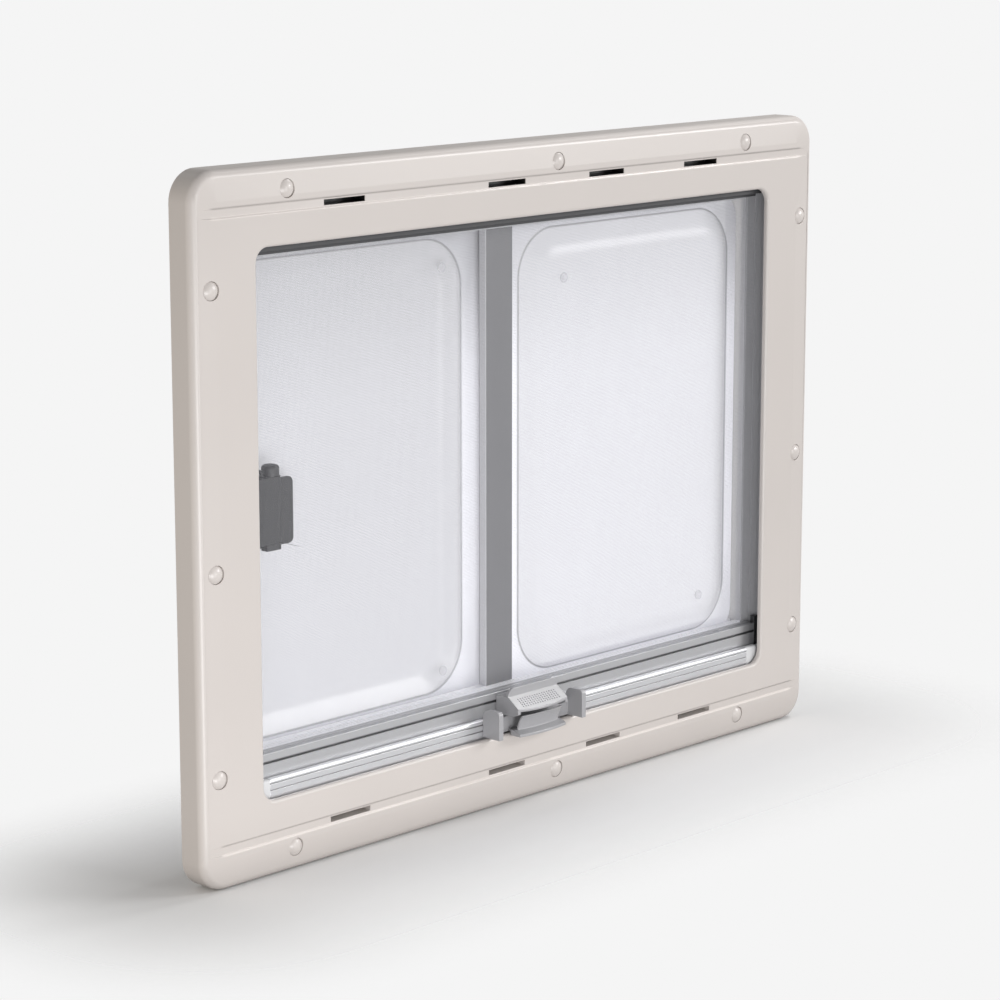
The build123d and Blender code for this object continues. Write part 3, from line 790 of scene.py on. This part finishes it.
class Repeater(Graph):
    """A Geometry Nodes tree with named inputs that repeats a shape."""

    def __init__(self, name: str, inputs: dict[str, float | int], takes_points: bool = False) -> None:
        """Makes the tree's interface.

        Args:
            name: the tree's name.
            inputs: names and values of its sizes and counts.
            takes_points: whether it works on its object's own points.
        """
        tree = bpy.data.node_groups.new(name, "GeometryNodeTree")
        super().__init__(tree)
        tree.is_modifier = True
        if takes_points:
            tree.interface.new_socket("Points", in_out="INPUT", socket_type="NodeSocketGeometry")
        self.values = inputs
        self.identifiers = {}
        for label, value in inputs.items():
            kind = "NodeSocketInt" if isinstance(value, int) else "NodeSocketFloat"
            socket = tree.interface.new_socket(label, in_out="INPUT", socket_type=kind)
            self.identifiers[label] = socket.identifier
        tree.interface.new_socket("Geometry", in_out="OUTPUT", socket_type="NodeSocketGeometry")
        self.given = self.node("NodeGroupInput")

    def input(self, label: str) -> Value:
        """One of the tree's inputs."""
        return self.given.part(label)

    def vector(self, x: Any = 0.0, y: Any = 0.0, z: Any = 0.0) -> Value:
        """A vector from three values."""
        return self.node("ShaderNodeCombineXYZ", None, {"X": x, "Y": y, "Z": z})

    def instances(self, points: Value, shape: Value, **sockets: Any) -> Value:
        """The shape at every point."""
        named = {"Points": points, "Instance": shape, **sockets}
        return self.node("GeometryNodeInstanceOnPoints", None, named)

    def made(
        self, geometry: Value, finish: Finish, name: str, points: bpy.types.Mesh | None = None
    ) -> bpy.types.Mesh:
        """Ends the tree, runs it and gives its result.

        Args:
            geometry: what the tree makes.
            finish: the finish of its faces.
            name: the new mesh's name.
            points: the mesh whose points it works on.

        Returns:
            A plain mesh.
        """
        real = self.node("GeometryNodeRealizeInstances", None, {0: geometry})
        sockets = {"Geometry": real, "Material": finish.material()}
        dressed = self.node("GeometryNodeSetMaterial", None, sockets)
        self.node("NodeGroupOutput", None, {"Geometry": dressed})
        carrier = placed(name, points or bpy.data.meshes.new(name))
        modifier = carrier.modifiers.new("Repeat", "NODES")
        modifier.node_group = self.tree
        for label, value in self.values.items():
            modifier[self.identifiers[label]] = value
        return plain_mesh(carrier, name)


@dataclass
class DressedSolids:
    """Solids whose shape is right: each is shown as a copy with eased edges and a finish."""

    nodes: dict[str, bpy.types.Object]
    sharp: float = 32.0
    flat: float = 0.3
    segments: int = 2
    channel_middle: float = 260.5 * MM
    channel_reach: float = 3.6 * MM
    channel_end: float = 379 * MM
    channel_foot: float = -26.8 * MM
    rim_shift: float = 0.8 * MM
    foot_shift: float = 0.3 * MM
    slack: float = 0.1 * MM

    def dress(self, node: str, slot: Slot, ease: float) -> bpy.types.Object:
        """Shows one solid with eased edges.

        Args:
            node: the solid's name.
            slot: its finish.
            ease: width of the eased edges, in metres.

        Returns:
            The new piece.
        """
        name = f"finished_{node}"
        shell = merged(self.nodes[node])
        bmesh.ops.dissolve_limit(
            shell,
            angle_limit=math.radians(self.flat),
            verts=shell.verts,
            edges=shell.edges,
            delimit={"NORMAL"},
        )
        self._slope_channels(shell)
        mesh = bpy.data.meshes.new(name)
        shell.to_mesh(mesh)
        shell.free()
        smooth(mesh, self.sharp)
        carrier = placed(name, mesh)
        bevel = carrier.modifiers.new("Ease", "BEVEL")
        bevel.width = ease
        bevel.segments = self.segments
        bevel.limit_method = "ANGLE"
        bevel.angle_limit = math.radians(self.sharp)
        bevel.use_clamp_overlap = False
        weights = carrier.modifiers.new("Even", "WEIGHTED_NORMAL")
        weights.keep_sharp = True
        return add_piece(name, plain_mesh(carrier, name), slot.finish, [node])

    def _slope_channels(self, shell: bmesh.types.BMesh) -> None:
        """Turns the upright walls of the frame's two long channels into gentle slopes.

        Args:
            shell: the merged solid; one without channels stays as it is.
        """
        for vert in shell.verts:
            place = vert.co
            up = abs(place.z) - self.channel_middle
            on_wall = abs(abs(up) - self.channel_reach) < self.slack
            if place.y > self.channel_foot + self.slack or not on_wall or abs(place.x) > self.channel_end:
                continue
            shift = self.rim_shift if place.y < self.channel_foot - self.slack else -self.foot_shift
            place.z += shift * math.copysign(1.0, place.z) * math.copysign(1.0, up)

    def dress_all(self) -> None:
        """Shows every solid of the list below."""
        fine, usual, soft = 0.25 * MM, 0.5 * MM, 0.8 * MM
        for slot, ease, names in (
            (Slot.CREAM, fine, ("inner_frame",)),
            (Slot.FRAME, usual, ("outer_frame",)),
            (Slot.JAMB, usual, ("jamb_left", "jamb_right")),
            (Slot.SEAL, fine, ("wall_seal",)),
            (Slot.BOTTOM_TRACK, usual, ("bottom_track",)),
            (Slot.TOP_TRACK, usual, ("top_track",)),
            (Slot.PLUG, fine, ("fixed_pane_plugs", "sash_pane_plugs")),
            (Slot.STILE, usual, ("fixed_stile", "sash_stile")),
            (Slot.GUIDE, fine, ("screen_guide_left", "screen_guide_right")),
            (Slot.BAR_END, fine, ("screen_bar_ends",)),
            (Slot.GUIDE, fine, ("screen_cassette_ends", "blind_cassette_ends")),
            (Slot.CASSETTE, usual, ("screen_cassette", "blind_cassette")),
            (Slot.SCREEN_BAR, fine, ("screen_bar",)),
            (Slot.BLIND_BAR, fine, ("blind_bar",)),
            (Slot.END, usual, ("blind_bar_ends",)),
            (Slot.CATCH, usual, ("catch_latch", "catch_keeper")),
            (Slot.LATCH, soft, ("sash_latch_base", "sash_latch_lever")),
        ):
            for name in names:
                self.dress(name, slot, ease)


@dataclass
class ScrewCaps:
    """Domed caps over the frame's screws."""

    nodes: dict[str, bpy.types.Object]
    shoulder_round: float = 0.7 * MM
    rim: float = 2.6 * MM
    foot_share: float = 0.08
    turns: int = 40
    rises: int = 7
    sharp: float = 50.0

    def build(self) -> None:
        """Makes the caps of the four sides."""
        low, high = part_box("screw_caps_top")
        radius, seat, crown = (high.z - low.z) / 2, high.y, low.y
        pattern = self._cap(radius, seat, crown)
        for side in ("left", "right", "top", "bottom"):
            node = f"screw_caps_{side}"
            tree = Repeater(node, {}, takes_points=True)
            shape = tree.node("GeometryNodeObjectInfo", None, {"Object": pattern}, "Geometry")
            caps = tree.instances(tree.input("Points"), shape)
            mesh = tree.made(caps, Slot.CAP.finish, node, self._places(node))
            add_piece(f"domed_caps_{side}", smooth(mesh, self.sharp), Slot.CAP.finish, [node])
        bpy.data.objects.remove(pattern)

    def _cap(self, radius: float, seat: float, crown: float) -> bpy.types.Object:
        """One cap on the depth axis, as a pattern object."""
        shoulder = seat - self.rim
        height = shoulder - crown
        sphere = (radius**2 + height**2) / (2 * height)
        foot = self.foot_share * radius
        profile = [(radius - foot, seat), (radius, seat - foot), (radius, shoulder)]
        for step in range(1, self.rises + 1):
            across = (radius - self.shoulder_round / 2) * (1 - step / (self.rises + 1))
            profile.append((across, crown + sphere - math.sqrt(sphere**2 - across**2)))
        rings = [
            [
                Vector((across * math.cos(a), depth, across * math.sin(a)))
                for a in (2 * math.pi * turn / self.turns for turn in range(self.turns))
            ]
            for across, depth in profile
        ]
        return placed("cap_pattern", loft("cap_pattern", rings))

    def _places(self, node: str) -> bpy.types.Mesh:
        """A mesh with one point on the depth axis of each cap of a solid."""
        shell = merged(self.nodes[node])
        seen: set[bmesh.types.BMVert] = set()
        middles = []
        for start in shell.verts:
            if start in seen:
                continue
            island, edge = {start}, [start]
            while edge:
                for link in edge.pop().link_edges:
                    fresh = {v for v in link.verts if v not in island}
                    island |= fresh
                    edge.extend(fresh)
            seen |= island
            xs, zs = [v.co.x for v in island], [v.co.z for v in island]
            middles.append(((min(xs) + max(xs)) / 2, 0.0, (min(zs) + max(zs)) / 2))
        shell.free()
        mesh = bpy.data.meshes.new(node)
        mesh.from_pydata(middles, [], [])
        return mesh


class Rise(Enum):
    """Which way a formed sheet's middle rises."""

    ROOM = -1
    OUTDOORS = 1


@dataclass
class Pane:
    """One double pane: a flat sheet with a formed sheet bonded on it."""

    name: str
    rise: Rise
    stile_inset: float
    wall_side: int
    sheet: float = 2.5 * MM
    height: float = 10.5 * MM
    slope: float = 22 * MM
    bend: float = 40 * MM
    crease_bend: float = 4 * MM
    raised_corner: float = 45 * MM
    corner: float = 25 * MM
    edge_round: float = 0.5 * MM
    wall_inset: float = 12.6 * MM
    top_inset: float = 11 * MM
    bottom_inset: float = 10.2 * MM
    milk: float = 0.5
    flat_milk: float = 0.04
    colour: Colour = (0.8, 0.8, 0.848)
    roughness: float = 0.26
    shine: float = 0.3
    far_shade_width: float = 0.0
    steps: int = 14
    crease_steps: int = 4
    crown_steps: int = 8

    def build(self) -> None:
        """Makes both sheets."""
        self._flat_sheet()
        self._formed_sheet()

    def _outline(self, node: str) -> Panel:
        """The pane's edge."""
        low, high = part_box(node)
        return Panel(low.x, high.x, low.z, high.z, self.corner)

    def _raised(self, edge: Panel) -> Panel:
        """The foot of the raised middle."""
        stile, wall = self.stile_inset, self.wall_inset
        left, right = (stile, wall) if self.wall_side > 0 else (wall, stile)
        low, high = edge.low + self.bottom_inset, edge.high - self.top_inset
        return Panel(edge.left + left, edge.right - right, low, high, self.raised_corner)

    def _flat_sheet(self) -> None:
        """Makes the flat sheet."""
        node = f"{self.name}_flat"
        low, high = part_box(node)
        edge, soft = self._outline(node), self.edge_round
        rings = [
            edge.inset(soft).ring(low.y, self.steps),
            edge.ring(low.y + soft, self.steps),
            edge.ring(high.y - soft, self.steps),
            edge.inset(soft).ring(high.y, self.steps),
        ]
        finish = Acrylic("clear acrylic sheet", self.colour, self.flat_milk)
        add_piece(f"{node}_sheet", smooth(loft(node, rings)), finish, [node])

    def _profile(self) -> list[tuple[float, float]]:
        """Section of the raised middle as (inset from its foot, height) pairs."""
        slant = math.atan2(self.height, self.slope)
        points = []
        foot, sharp = self.crease_bend * math.tan(slant / 2), self.crease_bend
        for step in range(self.crease_steps + 1):
            turn = slant * step / self.crease_steps
            points.append((-foot + sharp * math.sin(turn), sharp * (1 - math.cos(turn))))
        crown, wide = self.slope + self.bend * math.tan(slant / 2), self.bend
        for step in range(self.crown_steps + 1):
            turn = slant * (1 - step / self.crown_steps)
            points.append((crown - wide * math.sin(turn), self.height - wide * (1 - math.cos(turn))))
        return points

    def _formed_sheet(self) -> None:
        """Makes the formed sheet."""
        node = f"{self.name}_formed"
        low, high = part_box(node)
        away = self.rise.value
        face = high.y - self.sheet if away < 0 else low.y + self.sheet
        edge, soft = self._outline(node), self.edge_round
        raised = self._raised(edge)
        back = face - away * self.sheet
        section = self._profile()
        front, rear = (
            [raised.inset(inset).ring(plane + away * height, self.steps) for inset, height in section]
            for plane in (face, back)
        )
        outer = [edge.inset(soft).ring(face, self.steps), edge.ring(face - away * soft, self.steps)]
        inner = [edge.ring(back + away * soft, self.steps), edge.inset(soft).ring(back, self.steps)]
        label, look = f"clear acrylic, formed {self.name}", (self.roughness, self.shine)
        finish = Acrylic(label, self.colour, self.milk, *look, raised, far_shade_width=self.far_shade_width)
        mesh = loft(node, [*reversed(front), *outer, *inner, *rear])
        add_piece(f"{node}_sheet", smooth(mesh), finish, [node])


@dataclass
class InsectScreen:
    """The woven screen, pulled down over the opening."""

    node: str = "screen_mesh"
    pitch: float = 1.3 * MM
    strand: float = 0.28 * MM
    thickness: float = 0.21 * MM

    def build(self) -> None:
        """Weaves the screen from upright and level strands."""
        low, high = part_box(self.node)
        width, height = high.x - low.x, high.z - low.z
        tree = Repeater(
            "woven_screen",
            {
                "Width": width,
                "Height": height,
                "Pitch": self.pitch,
                "Strand": self.strand,
                "Thickness": self.thickness,
                "Low": low.z,
                "Front": low.y,
                "Back": high.y,
            },
        )
        width_in, height_in, pitch = tree.input("Width"), tree.input("Height"), tree.input("Pitch")
        strand, thickness = tree.input("Strand"), tree.input("Thickness")
        front, back, foot = tree.input("Front"), tree.input("Back"), tree.input("Low")
        upright = self._row(
            tree,
            (width_in / pitch).floor(),
            tree.vector(pitch / 2 - width_in / 2, front + thickness / 2, foot + height_in / 2),
            tree.vector(pitch),
            tree.vector(strand, thickness, height_in),
        )
        level = self._row(
            tree,
            (height_in / pitch).floor(),
            tree.vector(0.0, back - thickness / 2, foot + pitch / 2),
            tree.vector(0.0, 0.0, pitch),
            tree.vector(width_in, thickness, strand),
        )
        weave = tree.node("GeometryNodeJoinGeometry", None, {0: [level, upright]})
        mesh = tree.made(weave, Slot.SCREEN.finish, "insect_screen")
        screen = add_piece("insect_screen", mesh, Slot.SCREEN.finish, [self.node])

    @staticmethod
    def _row(tree: Repeater, count: Value, start: Value, step: Value, size: Value) -> Value:
        """A row of equal strands.

        Args:
            tree: the tree that makes them.
            count: number of strands.
            start: middle of the first one.
            step: way from one to the next.
            size: a strand's size.

        Returns:
            The strands.
        """
        sockets = {"Count": count, "Start Location": start, "Offset": step}
        line = tree.node("GeometryNodeMeshLine", {"mode": "OFFSET"}, sockets)
        bar = tree.node("GeometryNodeMeshCube", None, {"Size": size})
        return tree.instances(line, bar)


@dataclass
class PadDots:
    """Raised dots that roughen the thumb latch's pad."""

    columns: int = 16
    rows: int = 5
    column_pitch: float = 3.1 * MM
    row_pitch: float = 2.2 * MM
    dot: float = 0.75 * MM
    flatness: float = 0.4
    pad_reach: float = 12.5 * MM
    pad_drop: float = 9.0 * MM
    ridge_below_crest: float = 7.3 * MM
    middle: float = 0.58
    roundness: int = 1
    sharp: float = 80.0

    def build(self) -> None:
        """Sets the dots on the pad's slope."""
        frame_low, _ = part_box("inner_frame")
        _, latch_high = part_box("catch_latch")
        slant = math.atan2(self.pad_drop, self.pad_reach)
        ridge = latch_high.z - self.ridge_below_crest
        tree = Repeater(
            "pad_dots",
            {
                "Columns": self.columns,
                "Rows": self.rows,
                "Width": (self.columns - 1) * self.column_pitch,
                "Length": (self.rows - 1) * self.row_pitch,
                "Dot": self.dot,
                "Slant": slant,
                "Depth": frame_low.y - self.middle * self.pad_reach,
                "Height": ridge - self.middle * self.pad_drop,
            },
        )
        sizes = {"Size X": tree.input("Width"), "Size Y": tree.input("Length")}
        counts = {"Vertices X": tree.input("Columns"), "Vertices Y": tree.input("Rows")}
        grid = tree.node("GeometryNodeMeshGrid", None, sizes | counts)
        round_dot = {"Radius": tree.input("Dot"), "Subdivisions": self.roundness}
        ball = tree.node("GeometryNodeMeshIcoSphere", None, round_dot)
        dots = tree.instances(grid, ball, Scale=(1.0, 1.0, self.flatness))
        real = tree.node("GeometryNodeRealizeInstances", None, {0: dots})
        place = tree.vector(0.0, tree.input("Depth"), tree.input("Height"))
        turn = tree.vector(tree.input("Slant"))
        sockets = {"Geometry": real, "Translation": place, "Rotation": turn}
        laid = tree.node("GeometryNodeTransform", None, sockets)
        mesh = tree.made(laid, Slot.SHADED_DOT.finish, "pad_dots")
        add_piece("latch_pad_dots", smooth(mesh, self.sharp), Slot.SHADED_DOT.finish)


@dataclass(frozen=True)
class Lamp:
    """A soft rectangular lamp aimed at the window's middle."""

    name: str
    place: Colour
    size: tuple[float, float]
    power: float
    colour: Colour = (1.0, 1.0, 1.0)

    def build(self) -> None:
        """Hangs the lamp."""
        lamp = bpy.data.lights.new(self.name, "AREA")
        lamp.shape = "RECTANGLE"
        lamp.size, lamp.size_y = self.size
        lamp.energy = self.power
        lamp.color = self.colour
        holder = placed(self.name, lamp)
        holder.location = self.place
        holder.rotation_euler = (-Vector(self.place)).to_track_quat("-Z", "Y").to_euler()


@dataclass
class Studio:
    """Floor, light and camera."""

    lamps: tuple[Lamp, ...] = (
        Lamp("key", (1.65, -1.55, 0.75), (1.0, 0.5), 24.0),
        Lamp("front", (0.25, -2.4, 0.05), (0.6, 1.4), 14.5),
        Lamp("low front", (-0.85, -1.6, -0.4), (0.7, 0.7), 16.5),
        Lamp("left", (-1.15, -0.9, -0.2), (0.55, 0.36), 3.6),
        Lamp("left edge", (-1.6, 0.45, 0.05), (0.8, 0.8), 5.4, (1.0, 0.92, 0.8)),
        Lamp("rim", (1.7, -0.1, 1.7), (0.7, 0.35), 16.0),
    )
    floor_gap: float = 0.5 * MM
    floor_reach: float = 6.0
    floor_shown: tuple[float, float] = (388 * MM, 40 * MM)
    pale: float = 0.913
    low_level: float = 0.09
    sky_level: float = 0.24
    back_level: float = 0.25
    sky_rise: tuple[float, float] = (-0.1, 0.7)
    back_rise: tuple[float, float] = (0.0, 0.7)
    eye: tuple[float, float, float] = (-1.981313, -1.896689, 0.535446)
    eye_azimuth: float = -46.057
    eye_elevation: float = 11.561
    lens: float = 113.341
    sensor: float = 36.0

    def build(self, lowest: float) -> None:
        """Sets the stage.

        Args:
            lowest: height of the window's lowest point.
        """
        self._floor(lowest - self.floor_gap)
        self._world()
        for lamp in self.lamps:
            lamp.build()
        self._camera()
        bpy.context.scene.view_settings.view_transform = "Standard"

    def _floor(self, height: float) -> None:
        """A wide pale floor."""
        reach = self.floor_reach
        mesh = bpy.data.meshes.new("floor")
        corners = [(x * reach, y * reach, height) for x, y in ((-1, -1), (1, -1), (1, 1), (-1, 1))]
        mesh.from_pydata(corners, [], [(0, 1, 2, 3)])
        mesh.materials.append(Ground("pale floor", *self.floor_shown).material())
        placed("floor", mesh)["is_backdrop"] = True

    def _world(self) -> None:
        """A pale backdrop for the camera, metal and glass, with a softer light from above and behind."""
        world = bpy.data.worlds.new("studio")
        bpy.context.scene.world = world
        world.use_nodes = True
        graph = Graph(world.node_tree)
        ray = graph.node("ShaderNodeLightPath", output="Is Camera Ray")
        seen = ray.at_least(ray.part("Is Glossy Ray")).at_least(ray.part("Is Transmission Ray"))
        outwards = graph.node("ShaderNodeTexCoord", output="Generated")
        way = graph.node("ShaderNodeSeparateXYZ", None, {0: outwards})
        level = self.low_level + (self.sky_level - self.low_level) * way.part("Z").eased(*self.sky_rise)
        level = level + self.back_level * way.part("Y").eased(*self.back_rise)
        strength = seen * self.pale + (1 - seen) * level
        light = graph.node("ShaderNodeBackground", None, {"Color": (1.0, 1.0, 1.0), "Strength": strength})
        graph.node("ShaderNodeOutputWorld", None, {"Surface": light})

    def _camera(self) -> None:
        """The camera at the photograph's viewing angle."""
        camera = bpy.data.cameras.new("camera")
        camera.lens = self.lens
        camera.sensor_width = self.sensor
        holder = placed("camera", camera)
        azimuth, elevation = math.radians(self.eye_azimuth), math.radians(self.eye_elevation)
        level = math.cos(elevation)
        ahead = Vector((-math.sin(azimuth) * level, math.cos(azimuth) * level, -math.sin(elevation)))
        holder.location = self.eye
        holder.rotation_euler = ahead.to_track_quat("-Z", "Y").to_euler()
        bpy.context.scene.camera = holder


def main() -> None:
    """Dresses the window."""
    logging.basicConfig(level=logging.INFO, format="%(message)s")
    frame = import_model()
    solid_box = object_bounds()
    Studio().build(solid_box[0].z)
    DressedSolids(frame["nodes"]).dress_all()
    ScrewCaps(frame["nodes"]).build()
    Pane("fixed_pane", Rise.ROOM, stile_inset=38.7 * MM, wall_side=1, far_shade_width=2.6 * MM).build()
    Pane("sash_pane", Rise.OUTDOORS, stile_inset=48.0 * MM, wall_side=-1, roughness=0.17, shine=0.45).build()
    InsectScreen().build()
    PadDots().build()


if __name__ == "__main__":
    main()
